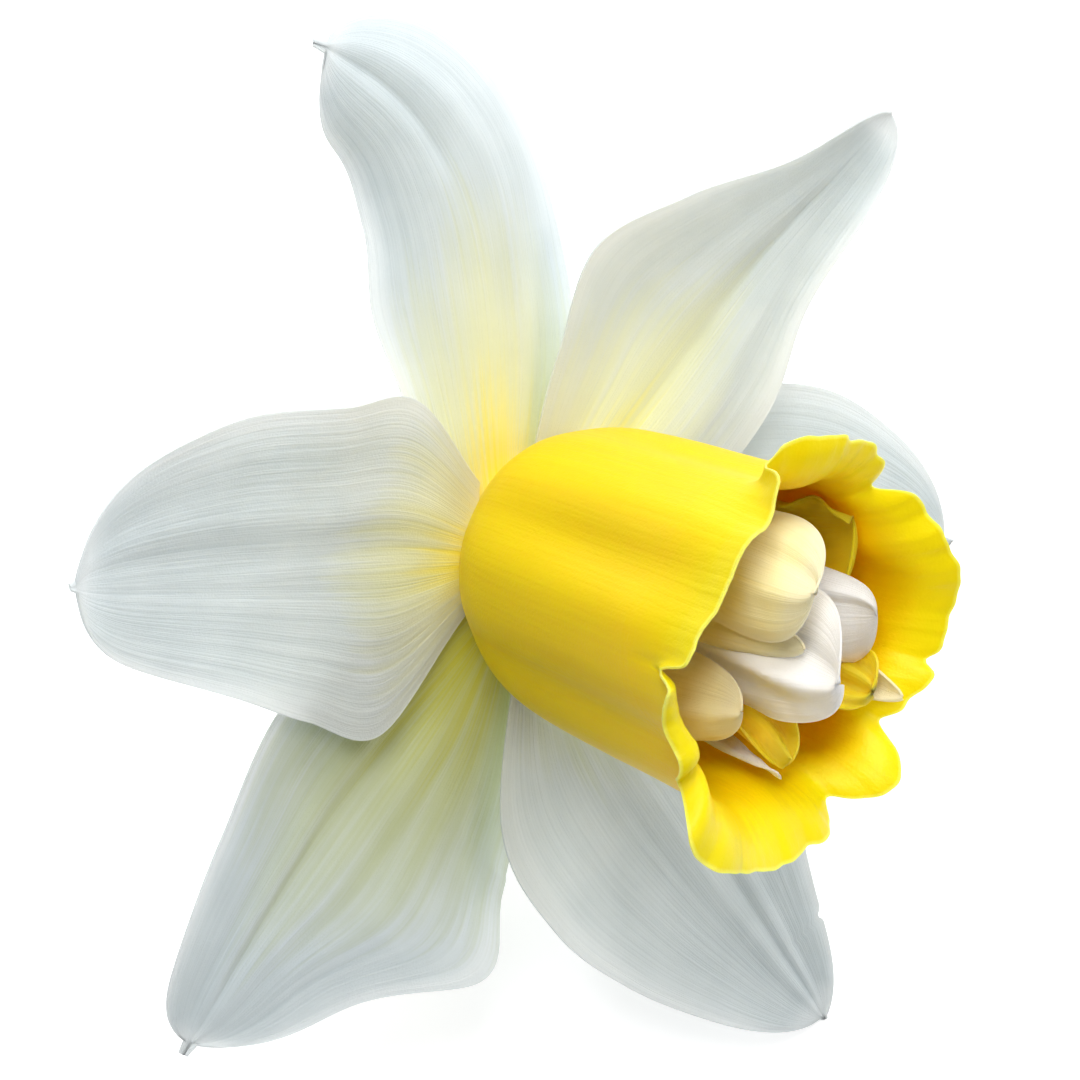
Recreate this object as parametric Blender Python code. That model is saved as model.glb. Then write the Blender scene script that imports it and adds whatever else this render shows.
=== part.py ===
"""Daffodil flower head, double-flowered, picked with a short stub of its stem.

The flower is modelled about its own axis: +Z runs out of the trumpet, +X is the side that lies
lowest, and the throat, where the tepals meet the trumpet, is at z = 0. An empty then leans it
over, to lie on two tepal tips and the cut end of the stub. Lengths are in millimetres until
the end, where the empty scales them to metres.
"""

import math

import bmesh
import bpy
import numpy as np
from mathutils import Vector

MM = 0.001

# How the head lies: the axis leans this far from upright, and it leans towards this side.
LEAN_DEG = 42.0
LEAN_SIDE_DEG = -18.0
# Where the throat then stands above the surface that the head lies on.
THROAT_PLACE = (-1.4, -1.65, 29.9)

TEPAL_THICK = 0.6
TEPAL_ROWS, TEPAL_COLUMNS = 16, 8
# The ring that the tepals grow from. The three outer ones are rooted below the three inner.
TEPAL_ROOT_RADIUS = 6.6
OUTER_HEIGHT, INNER_HEIGHT = -1.1, 0.0

PETALOID_THICK = 0.6
PETALOID_ROWS, PETALOID_COLUMNS = 9, 6
PETALOID_ROOT_HEIGHT = -3.5

# A petal narrows to this at its root and at its spike.
LEAST_HALF_WIDTH = 0.3
# Rows of faces crowd towards a petal's tip, and towards the trumpet's rim, by these powers.
BLADE_CROWDING = 1.35
CORONA_CROWDING = 0.85
# A petal is never bent across by less than this, in degrees.
LEAST_CUP_DEG = 0.5

CORONA_THICK = 0.8
CORONA_SEGMENTS, CORONA_ROWS = 54, 13
CORONA_BASE_RADIUS = 7.4
CORONA_BASE_HEIGHT = 1.2
# Degrees that the wall opens from the axis, from base to rim, before the rim's own flare.
CORONA_OPENING = [60, 26, 8, 3, 2, 3, 4, 5, 5]
CORONA_FLARE_FROM = 0.80
CORONA_FLARE_POWER = 1.1
# Six broad ridges run up the wall.
CORONA_RIDGES = 6
CORONA_RIDGE = 0.03
CORONA_RIDGE_TURN = 20.0
# The base stands this far to one side of the axis, and the rim stands on it.
CORONA_SIDESTEP = 1.3
CORONA_SIDESTEP_TURN = 100.0
# The wall's length and the rim's flare, every 15 degrees round, starting on the low side.
CORONA_LENGTH = [
    34, 35, 36, 37, 36, 34, 36.5, 38.5, 37, 36, 37, 37,
    37, 37, 38, 39.5, 42.5, 42, 39, 38, 35.5, 33.5, 36, 32,
]
CORONA_FLARE = [
    45, 55, 55, 55, 55, 60, 70, 90, 80, 0, 0, 0,
    0, 20, 70, 95, 90, 70, 60, 60, 55, 50, 50, 45,
]

# (radius, height) down each body, on its outside. The floral tube opens in a cup at its top.
FLORAL_TUBE = [
    (4.8, -4.4), (5.3, -3.2), (6.4, -2.1), (7.4, -1.8), (7.5, -2.2), (6.6, -4.0),
    (5.4, -6.6), (4.5, -9.6), (3.9, -13.0), (3.6, -16.6),
]
OVARY = [
    (3.4, -16.9), (4.0, -18.2), (4.6, -20.6), (4.7, -23.0), (4.2, -25.6), (3.2, -27.6),
    (2.6, -28.4),
]
OVARY_SWELL = 0.07
PEDICEL = [(2.4, -28.7), (2.3, -31.0), (2.25, -34.0), (2.35, -38.1)]


def clear_scene():
    for old in list(bpy.data.objects):
        bpy.data.objects.remove(old)


def material(name, colour, roughness):
    made = bpy.data.materials.new(name)
    made.use_nodes = True
    shader = made.node_tree.nodes["Principled BSDF"]
    shader.inputs["Base Color"].default_value = (*colour, 1.0)
    shader.inputs["Roughness"].default_value = roughness
    shader.inputs["Metallic"].default_value = 0.0
    return made


def through(values, at):
    """A smooth curve through evenly spaced values, read at places from 0 to 1."""
    knots = np.asarray(values, float)
    last = len(knots) - 1
    place = np.clip(at, 0.0, 1.0) * last
    start = np.minimum(place.astype(int), last - 1)
    part = place - start
    ends = np.concatenate([[2 * knots[0] - knots[1]], knots, [2 * knots[-1] - knots[-2]]])
    before, here, after, beyond = (ends[start + k] for k in range(4))
    bend = 2 * before - 5 * here + 4 * after - beyond
    return here + 0.5 * part * (
        after - before + part * (bend + part * (3 * (here - after) + beyond - before))
    )


def around(values, turn_deg):
    """The same kind of curve, closed: the values are spread evenly over a full turn."""
    knots = np.asarray(values, float)
    place = (np.asarray(turn_deg, float) % 360.0) / 360.0 * len(knots)
    start = place.astype(int)
    part = place - start
    before, here, after, beyond = (knots[(start + k - 1) % len(knots)] for k in range(4))
    bend = 2 * before - 5 * here + 4 * after - beyond
    return here + 0.5 * part * (
        after - before + part * (bend + part * (3 * (here - after) + beyond - before))
    )


def blade_surface(shape, along, across):
    """Points of a petal. along runs from root (0) to tip (1), and across from -1 to 1.

    The midrib starts at `root` heading out at `turn` degrees round the axis. `lean` raises the
    heading towards the axis and `swing` turns it sideways, in degrees. `left` and `right` are
    half widths, seen from the front with the tip up, and `cup_left` and `cup_right` bend each
    half forwards by that angle at its edge.
    `tip` says how squarely and how bluntly the blade closes, and `point` is the length of the
    small spike beyond it.
    """
    fine = np.linspace(0.0, 1.0, 241)
    heading = np.radians(shape["turn"] + through(shape["swing"], fine))
    rise = np.radians(through(shape["lean"], fine))
    forward = np.stack(
        [np.cos(rise) * np.cos(heading), np.cos(rise) * np.sin(heading), np.sin(rise)], axis=1
    )
    steps = 0.5 * (forward[1:] + forward[:-1]) * shape["length"] / (len(fine) - 1)
    midrib = np.asarray(shape["root"], float) + np.concatenate(
        [np.zeros((1, 3)), np.cumsum(steps, axis=0)]
    )

    def read(track):
        return np.stack([np.interp(along, fine, track[:, k]) for k in range(3)], axis=-1)

    centre, ahead = read(midrib), read(forward)
    turned = np.interp(along, fine, heading)
    side = np.stack([-np.sin(turned), np.cos(turned), np.zeros_like(turned)], axis=-1)
    front = np.cross(ahead, side)
    front /= np.linalg.norm(front, axis=-1, keepdims=True)

    on_left = across > 0
    blunt, taper = shape["tip"]
    blade_end = 1.0 - shape.get("point", 0.0) / shape["length"]
    closing = np.maximum(1.0 - (along / blade_end) ** blunt, 0.0) ** taper
    half = np.where(on_left, through(shape["left"], along), through(shape["right"], along))
    half = np.maximum(half * closing, LEAST_HALF_WIDTH)
    cup = np.where(on_left, through(shape["cup_left"], along), through(shape["cup_right"], along))
    cup = np.radians(np.where(np.abs(cup) < LEAST_CUP_DEG, LEAST_CUP_DEG, cup))
    out = np.abs(across)
    sidestep = np.sign(across) * np.sin(cup * out) / cup * half
    lift = (1.0 - np.cos(cup * out)) / cup * half
    return centre + sidestep[..., None] * side + lift[..., None] * front


def add_object(name, mesh, look, holder):
    thing = bpy.data.objects.new(name, mesh)
    bpy.context.scene.collection.objects.link(thing)
    thing.data.materials.append(look)
    thing.parent = holder
    return thing


def thicken(thing, thick, offset=0.0):
    skin = thing.modifiers.new("Thickness", "SOLIDIFY")
    skin.thickness = thick
    skin.offset = offset
    skin.use_even_offset = False


def add_blade(name, shape, rows, columns, thick, look, holder):
    """One petal: a flat grid bent to its surface, then given its thickness."""
    grid = bmesh.new()
    bmesh.ops.create_grid(grid, x_segments=columns, y_segments=rows, size=1.0)
    flat = np.array([vertex.co[:] for vertex in grid.verts])
    across = flat[:, 0]
    along = 1.0 - ((1.0 - flat[:, 1]) / 2.0) ** BLADE_CROWDING
    placed = blade_surface(shape, along, -across)
    for vertex, point in zip(grid.verts, placed):
        vertex.co = point
    bmesh.ops.recalc_face_normals(grid, faces=grid.faces)
    mesh = bpy.data.meshes.new(name)
    grid.to_mesh(mesh)
    grid.free()
    mesh.shade_smooth()
    thing = add_object(name, mesh, look, holder)
    thicken(thing, thick)
    return thing


def radial(radius, turn_deg, height):
    turn = math.radians(turn_deg)
    return (radius * math.cos(turn), radius * math.sin(turn), height)


def tepal(turn, length, height, **shape):
    """A tepal rooted on the throat's ring, with the usual narrow root and rounded blade."""
    made = {
        "turn": turn,
        "root": radial(TEPAL_ROOT_RADIUS, turn, height),
        "length": length - TEPAL_ROOT_RADIUS,
        "swing": [0, 0, 0],
        "lean": [0, 0, 0],
        "cup_left": [0, 0, 0],
        "cup_right": [0, 0, 0],
        "tip": (4, 0.6),
        "point": 1.0,
    }
    made.update(shape)
    return made


TEPALS = {
    "outer_tepal_top": tepal(
        137, 53, OUTER_HEIGHT,
        left=[6, 8.5, 9.7, 10.5, 12.5, 17], right=[6, 11, 11, 12, 13, 13],
        lean=[0, 0, -2, -4], swing=[-18, -20, -8, 15, 48],
        cup_left=[0, -20, -50, -40], cup_right=[0, -20, -50, -40],
    ),
    "outer_tepal_right": tepal(
        16, 48.3, OUTER_HEIGHT,
        left=[6, 12.5, 15, 15.7, 13, 12], right=[6, 12.5, 15, 15, 13, 12],
        lean=[1, 4, 5, 5], cup_left=[0, 0, 10], cup_right=[0, 0, 10],
    ),
    "outer_tepal_lower_left": tepal(
        -106, 51.5, OUTER_HEIGHT,
        left=[6, 15.5, 19.5, 19, 17, 15], right=[6, 11, 11, 9, 9, 10],
        lean=[0, -3, -8, -14, -16], swing=[-8, -10, 0, 10, 15],
        cup_left=[0, 0, 15, 10], cup_right=[0, 10, 10],
    ),
    "inner_tepal_upper_right": tepal(
        70, 49.3, INNER_HEIGHT,
        left=[6, 11.5, 16, 12.5, 6, 3], right=[6, 11, 10, 7.5, 6, 3],
        lean=[2, 9, 17, 19], swing=[0, 2, 4],
        cup_left=[0, 15, 20, 40], cup_right=[0, 20, 50, 40],
    ),
    "inner_tepal_lower_right": tepal(
        -36, 58, INNER_HEIGHT,
        left=[6, 13, 14, 12, 11, 10], right=[6, 15, 17, 16, 13.6, 11],
        lean=[6, 4, 4, 4], swing=[2, 3, 5],
        cup_left=[0, 10, 10], cup_right=[0, 15, 10],
    ),
    "inner_tepal_left": tepal(
        195, 48.7, INNER_HEIGHT,
        left=[7, 14, 12.7, 10.8, 9.8, 9], right=[7, 14.5, 14.2, 14.4, 14, 13],
        lean=[4, 4, 4], cup_left=[0, 10, 10], cup_right=[0, 10, 10],
    ),
}


def corona_surface(turn_deg, along):
    """Points of the trumpet's inner face, from its base (0) to its rim (1)."""
    length = around(CORONA_LENGTH, turn_deg)
    flare = around(CORONA_FLARE, turn_deg)
    fine = np.linspace(0.0, 1.0, 81)
    opening = through(CORONA_OPENING, fine)
    radius = np.full(np.shape(turn_deg), CORONA_BASE_RADIUS)
    height = np.full(np.shape(turn_deg), CORONA_BASE_HEIGHT)
    radii, heights = [radius], [height]
    for k in range(1, len(fine)):
        curl = np.clip((fine[k] - CORONA_FLARE_FROM) / (1 - CORONA_FLARE_FROM), 0, 1)
        angle = np.radians(opening[k] + flare * curl**CORONA_FLARE_POWER)
        step = length / (len(fine) - 1)
        radii.append(radii[-1] + step * np.sin(angle))
        heights.append(heights[-1] + step * np.cos(angle))
    ridge_turn = np.radians(CORONA_RIDGES * (turn_deg - CORONA_RIDGE_TURN))
    ridge = CORONA_RIDGE * np.cos(ridge_turn)
    radii = np.array(radii) * (1 + np.outer(np.minimum(fine * 3, 1), ridge))
    heights = np.array(heights)
    index = along * (len(fine) - 1)
    low = np.minimum(index.astype(int), len(fine) - 2)
    part = index - low
    column = np.arange(len(turn_deg))
    radius = radii[low, column] * (1 - part) + radii[low + 1, column] * part
    height = heights[low, column] * (1 - part) + heights[low + 1, column] * part
    turn = np.radians(turn_deg)
    aside = CORONA_SIDESTEP * (1 - along)
    aside_turn = math.radians(CORONA_SIDESTEP_TURN)
    across = radius * np.cos(turn) + aside * math.cos(aside_turn)
    up = radius * np.sin(turn) + aside * math.sin(aside_turn)
    return np.stack([across, up, height], axis=-1)


def join_rings(body, rings):
    """Faces between each ring of vertices and the next, outward where the rings run down."""
    for upper, lower in zip(rings, rings[1:]):
        for k in range(len(upper)):
            after = (k + 1) % len(upper)
            body.faces.new((upper[k], lower[k], lower[after], upper[after]))


def add_corona(look, holder):
    """The trumpet: rings from its rim down to its base, thickened outwards."""
    wall = bmesh.new()
    turns = np.arange(CORONA_SEGMENTS) * 360.0 / CORONA_SEGMENTS
    places = np.linspace(1.0, 0.0, CORONA_ROWS + 1) ** CORONA_CROWDING
    rings = []
    for place in places:
        points = corona_surface(turns, np.full(CORONA_SEGMENTS, place))
        rings.append([wall.verts.new(point) for point in points])
    join_rings(wall, rings)
    mesh = bpy.data.meshes.new("corona")
    wall.to_mesh(mesh)
    wall.free()
    mesh.shade_smooth()
    thing = add_object("corona", mesh, look, holder)
    thicken(thing, CORONA_THICK, 1.0)
    return thing


def petaloid(root_radius, root_turn, turn, length, **shape):
    """An inner petal: a narrow claw rooted in the throat, widening towards the mouth."""
    made = {
        "turn": turn,
        "root": radial(root_radius, root_turn, PETALOID_ROOT_HEIGHT),
        "length": length,
        "swing": [0, 0, 0],
        "tip": (5, 0.6),
    }
    made.update(shape)
    if "left" not in made:
        made["left"] = made["right"] = made.pop("half")
    if "cup_left" not in made:
        made["cup_left"] = made["cup_right"] = made.pop("cup")
    return made


WHITE_PETALOIDS = {
    "petaloid_white_folded": petaloid(
        1.1, 254, 204, 42, swing=[14, 6, 8, -10, -12], lean=[78, 84, 90, 100, 103],
        left=[0.8, 1, 2.5, 4, 5, 5.2], right=[0.8, 1, 1.9, 3.6, 7, 7.8],
        cup_left=[0, 20, 50, 50, 40], cup_right=[0, 20, 50, 30, 10], tip=(14, 0.45),
    ),
    "petaloid_white_right": petaloid(
        2.2, 48, 25, 38, swing=[1, 0, 1], lean=[69, 85, 90, 80, 45],
        left=[0.8, 0.6, 0.6, 2, 4, 3.9], right=[0.8, 0.6, 0.6, 3.3, 4.9, 6.6], cup=[0, 0, -25, -40],
        tip=(16, 0.4),
    ),
    "petaloid_white_small": petaloid(
        4.6, 287, 294, 36.5, swing=[-6, -7, 12], lean=[81, 76, 84, 83, 76],
        half=[0.8, 0.6, 0.6, 1.4, 1.2, 0.6], cup=[0, 0, 25],
    ),
}
CREAM_PETALOIDS = {
    "petaloid_cream_upper": petaloid(
        4.2, 145, 149, 42, swing=[-11, -2, 8, 20, 26], lean=[74, 76, 86, 96, 114],
        left=[0.8, 1.5, 3, 4.3, 5.1, 6.4], right=[0.8, 1.3, 3, 5.2, 6.6, 7],
        cup=[0, 20, 50, 50, 45], tip=(14, 0.4),
    ),
    "petaloid_cream_lower": petaloid(
        4.2, 240, 218, 36.5, swing=[15, 11, -8, -20, -20], lean=[75, 75, 83, 97, 122],
        half=[0.8, 1.2, 2.6, 4.3, 4.2, 4.6], cup=[0, 20, 50, 50, 45], tip=(12, 0.45),
    ),
    "petaloid_cream_curl": petaloid(
        3, 169, 177, 40, swing=[7, 5, -1], lean=[78, 80, 91, 98, 134],
        half=[0.8, 0.8, 1.6, 2.1, 2.6, 2.3], cup=[0, 0, 40, 60], tip=(8, 0.5),
    ),
    "petaloid_cream_edge": petaloid(
        4.3, -3, 355, 38, swing=[5, 0, -4], lean=[74, 77, 81, 74, 69],
        half=[0.8, 0.6, 0.6, 2.6, 3.3, 1.9], cup=[0, 20, 60, 70], tip=(8, 0.5),
    ),
}
YELLOW_PETALOIDS = {
    "petaloid_yellow_cupped": petaloid(
        4.5, 73, 69, 34.5, swing=[0, -9, 3], lean=[70, 73, 78, 81, 77],
        left=[0.8, 0.6, 1.1, 0.9, 2.4, 3], right=[0.8, 0.6, 2.8, 5.1, 9.6, 9.8],
        cup_left=[0, 10, 10, 10], cup_right=[0, 20, 60, 100, 110], tip=(14, 0.4),
    ),
    "petaloid_yellow_right": petaloid(
        1.9, -1, 350, 37, swing=[-7, 8, -10], lean=[83, 77, 74, 76, 62],
        half=[0.8, 0.6, 0.6, 2.8, 3.7, 4.6], cup=[0, 20, 50, 50], tip=(16, 0.4),
    ),
    "petaloid_yellow_hook": petaloid(
        3, 295, 297, 36, swing=[-1, 5, 2], lean=[96, 82, 75, 81, 46],
        half=[0.8, 0.6, 0.6, 3.1, 3.7, 3.1], cup=[0, 10, 60, 70], tip=(14, 0.4),
    ),
    "petaloid_yellow_upper": petaloid(
        3.5, 61, 66, 24, swing=[19, -8, 1], lean=[72, 76, 84, 89],
        half=[0.8, 0.6, 1.2, 0.9, 2.1, 2], cup=[0, 10, 30], tip=(8, 0.5),
    ),
    "petaloid_yellow_lower": petaloid(
        4.2, 332, 326, 27, swing=[0, 0, 2], lean=[74, 77, 84, 83],
        half=[0.8, 0.8, 1, 1.4, 1.7, 1.8], cup=[0, 10, 30], tip=(8, 0.5),
    ),
}


def add_turned(name, profile, segments, swell, look, holder):
    """A body turned round the axis from (radius, height) points, drawn from its top down.

    `swell` lets the outside stand out in three ribs, as a seed pod does.
    """
    body = bmesh.new()
    rings = []
    for radius, height in profile:
        ring = []
        for k in range(segments):
            turn = 2 * math.pi * k / segments
            out = radius * (1 + swell * math.cos(3 * turn))
            ring.append(body.verts.new((out * math.cos(turn), out * math.sin(turn), height)))
        rings.append(ring)
    join_rings(body, rings)
    body.faces.new(rings[0])
    body.faces.new(rings[-1][::-1])
    mesh = bpy.data.meshes.new(name)
    body.to_mesh(mesh)
    body.free()
    mesh.shade_smooth()
    return add_object(name, mesh, look, holder)


def main():
    clear_scene()
    white = material("white tepal", (0.86, 0.89, 0.88), 0.5)
    cream = material("cream petaloid", (0.93, 0.88, 0.62), 0.5)
    yellow = material("yellow trumpet", (0.95, 0.75, 0.02), 0.45)
    green = material("green stem", (0.36, 0.52, 0.16), 0.5)
    holder = bpy.data.objects.new("flower_axis", None)
    bpy.context.scene.collection.objects.link(holder)
    for name, shape in TEPALS.items():
        add_blade(name, shape, TEPAL_ROWS, TEPAL_COLUMNS, TEPAL_THICK, white, holder)
    add_corona(yellow, holder)
    looks = ((WHITE_PETALOIDS, white), (CREAM_PETALOIDS, cream), (YELLOW_PETALOIDS, yellow))
    for shapes, look in looks:
        for name, shape in shapes.items():
            add_blade(
                name, shape, PETALOID_ROWS, PETALOID_COLUMNS, PETALOID_THICK, look, holder)
    add_turned("floral_tube", FLORAL_TUBE, 24, 0.0, green, holder)
    add_turned("ovary", OVARY, 24, OVARY_SWELL, green, holder)
    add_turned("pedicel", PEDICEL, 20, 0.0, green, holder)
    holder.rotation_euler = (0.0, math.radians(LEAN_DEG), math.radians(LEAN_SIDE_DEG))
    holder.scale = (MM, MM, MM)
    holder.location = Vector(THROAT_PLACE) * MM


if __name__ == "__main__":
    main()
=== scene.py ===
"""A picked double daffodil lying on a light table: its petals, trumpet and stalk."""
import math

import bpy
import numpy as np
from mathutils import Matrix, Vector


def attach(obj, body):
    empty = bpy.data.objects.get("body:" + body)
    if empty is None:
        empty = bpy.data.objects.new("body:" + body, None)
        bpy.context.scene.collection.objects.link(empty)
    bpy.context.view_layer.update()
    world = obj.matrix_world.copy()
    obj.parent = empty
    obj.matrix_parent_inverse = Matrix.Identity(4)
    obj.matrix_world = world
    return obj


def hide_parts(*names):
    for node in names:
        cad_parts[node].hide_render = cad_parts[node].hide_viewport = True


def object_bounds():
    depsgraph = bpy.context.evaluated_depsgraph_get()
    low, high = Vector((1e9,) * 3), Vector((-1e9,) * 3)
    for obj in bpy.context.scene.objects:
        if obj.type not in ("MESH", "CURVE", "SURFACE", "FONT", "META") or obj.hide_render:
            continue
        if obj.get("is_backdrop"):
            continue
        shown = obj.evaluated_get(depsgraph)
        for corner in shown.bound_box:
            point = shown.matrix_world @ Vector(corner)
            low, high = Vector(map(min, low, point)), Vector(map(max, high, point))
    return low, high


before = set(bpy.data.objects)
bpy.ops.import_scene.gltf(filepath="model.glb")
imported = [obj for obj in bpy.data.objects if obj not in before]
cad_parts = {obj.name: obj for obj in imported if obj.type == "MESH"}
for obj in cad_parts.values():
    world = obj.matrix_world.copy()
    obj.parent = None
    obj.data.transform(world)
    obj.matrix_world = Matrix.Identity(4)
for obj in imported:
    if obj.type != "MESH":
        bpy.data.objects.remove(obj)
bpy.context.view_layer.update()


# ---- How the head lies ----------------------------------------------------------------------
# The flower is shaped about its own axis, in millimetres: +Z runs out of the trumpet, +X is its
# low side, and the throat is at z = 0. One matrix then lays it down on the table, in metres.

MM = 0.001
LEAN = math.radians(42.0)
LEAN_SIDE = math.radians(-18.0)
THROAT_PLACE = Vector((-1.4, -1.65, 29.9)) * MM
FLOWER_AXIS = (
    Matrix.Translation(THROAT_PLACE)
    @ Matrix.Rotation(LEAN_SIDE, 4, "Z")
    @ Matrix.Rotation(LEAN, 4, "Y")
    @ Matrix.Scale(MM, 4)
)


# ---- Tepals ---------------------------------------------------------------------------------
# Six white outer petals, three behind and three in front, grown from a ring round the throat.
# Each is one living blade, thinnest at its edge, with veins from root to tip and a small spike.

TEPAL_THICK = 0.5
TEPAL_ROWS, TEPAL_COLUMNS = 150, 104
# The ring that the tepals grow from. The three outer ones are rooted below the three inner.
TEPAL_ROOT_RADIUS = 6.6
OUTER_HEIGHT, INNER_HEIGHT = -1.1, 0.0
MIDRIB_STEPS = 241        # points along a midrib when its bends are added up
ROW_CROWDING = 1.7        # rows of faces crowd towards a petal's tip by this power
COLUMN_CROWDING = 0.35    # and this share of the columns' spacing crowds towards its edges
LEAST_CUP_DEG = 0.5       # a petal is never bent across by less than this
FOLD_FADE = 0.12          # a fold comes and goes over this share of the blade
EDGE_THICKNESS = 0.35     # share of a petal's thickness that is left at its edge
EDGE_ANGLE = math.radians(50.0)
THICKNESS_STEPS = 20      # the thickness falls towards an edge in this many steps
VEIN_SPACING = 0.95       # millimetres between the veins that can be felt


def through(values, at):
    """A smooth curve through evenly spaced values, read at places from 0 to 1."""
    knots = np.asarray(values, float)
    last = len(knots) - 1
    place = np.clip(at, 0.0, 1.0) * last
    start = np.minimum(place.astype(int), last - 1)
    part = place - start
    ends = np.concatenate([[2 * knots[0] - knots[1]], knots, [2 * knots[-1] - knots[-2]]])
    before, here, after, beyond = (ends[start + k] for k in range(4))
    bend = 2 * before - 5 * here + 4 * after - beyond
    return here + 0.5 * part * (
        after - before + part * (bend + part * (3 * (here - after) + beyond - before))
    )


def ramp(values, low, high):
    """0 below low, 1 above high and smooth between them."""
    part = np.clip((values - low) / (high - low), 0.0, 1.0)
    return part * part * (3.0 - 2.0 * part)


def hump(values, place, width):
    """A smooth hump of height 1."""
    return np.exp(-(((values - place) / width) ** 2))


def blade_surface(shape, along, across):
    """Points of a blade's middle: along runs from root (0) to tip (1), across from -1 to 1.

    `folds` are long ridges and creases, each (across at root, across at tip, width, height, from,
    to). `nicks` are bites in an edge, each (side, along, width, depth). `frill` is (height,
    count, phase) of the waves along both edges.
    """
    fine = np.linspace(0.0, 1.0, MIDRIB_STEPS)
    heading = np.radians(shape["turn"] + through(shape["swing"], fine))
    rise = np.radians(through(shape["lean"], fine))
    forward = np.stack(
        [np.cos(rise) * np.cos(heading), np.cos(rise) * np.sin(heading), np.sin(rise)], axis=1
    )
    steps = 0.5 * (forward[1:] + forward[:-1]) * shape["length"] / (len(fine) - 1)
    midrib = np.asarray(shape["root"], float) + np.concatenate(
        [np.zeros((1, 3)), np.cumsum(steps, axis=0)]
    )

    def read(track):
        return np.stack([np.interp(along, fine, track[:, k]) for k in range(3)], axis=-1)

    centre, ahead = read(midrib), read(forward)
    turned = np.interp(along, fine, heading)
    side = np.stack([-np.sin(turned), np.cos(turned), np.zeros_like(turned)], axis=-1)
    front = np.cross(ahead, side)
    front /= np.linalg.norm(front, axis=-1, keepdims=True)

    on_left = across > 0
    blunt, taper = shape["tip"]
    blade_end = 1.0 - shape["point"] / shape["length"]
    closing = np.maximum(1.0 - (along / blade_end) ** blunt, 0.0) ** taper
    half = np.where(on_left, through(shape["left"], along), through(shape["right"], along))
    half = half * closing
    for nick_side, nick_along, nick_width, nick_depth in shape["nicks"]:
        here = (across * nick_side > 0) * hump(along, nick_along, nick_width)
        half = half * (1.0 - nick_depth * here)
    spike = shape["spike"] * (1.0 - 0.45 * ramp(along, blade_end - 0.001, 1.0))
    half = np.maximum(half, spike)
    cup = np.where(on_left, through(shape["cup_left"], along), through(shape["cup_right"], along))
    cup = np.radians(np.where(np.abs(cup) < LEAST_CUP_DEG, LEAST_CUP_DEG, cup))
    out = np.abs(across)
    sidestep = np.sign(across) * np.sin(cup * out) / cup * half
    lift = (1.0 - np.cos(cup * out)) / cup * half
    for at_root, at_tip, width, height, start, end in shape["folds"]:
        place = at_root + (at_tip - at_root) * along
        begun = ramp(along, start - FOLD_FADE, start + FOLD_FADE)
        ended = ramp(along, end - FOLD_FADE, end + FOLD_FADE)
        lift = lift + height * hump(across, place, width) * (begun * (1 - ended))
    height, count, phase = shape["frill"]
    swing = np.sin(2 * math.pi * (count * along + phase + np.where(on_left, 0.0, 0.37)))
    lift = lift + height * out**3 * swing * ramp(along, 0.1, 0.4)
    return centre + sidestep[..., None] * side + lift[..., None] * front


def add_node(tree, kind, inputs=None, **settings):
    """A node with its settings made, and its inputs set or joined up."""
    made = tree.nodes.new(kind)
    for key, value in settings.items():
        setattr(made, key, value)
    for socket, value in (inputs or {}).items():
        if isinstance(value, bpy.types.NodeSocket):
            tree.links.new(value, made.inputs[socket])
        else:
            made.inputs[socket].default_value = value
    return made


def calc(tree, operation, *values, clamp=False):
    kind = "ShaderNodeMath"
    made = add_node(tree, kind, dict(enumerate(values)), operation=operation, use_clamp=clamp)
    return made.outputs[0]


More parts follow.
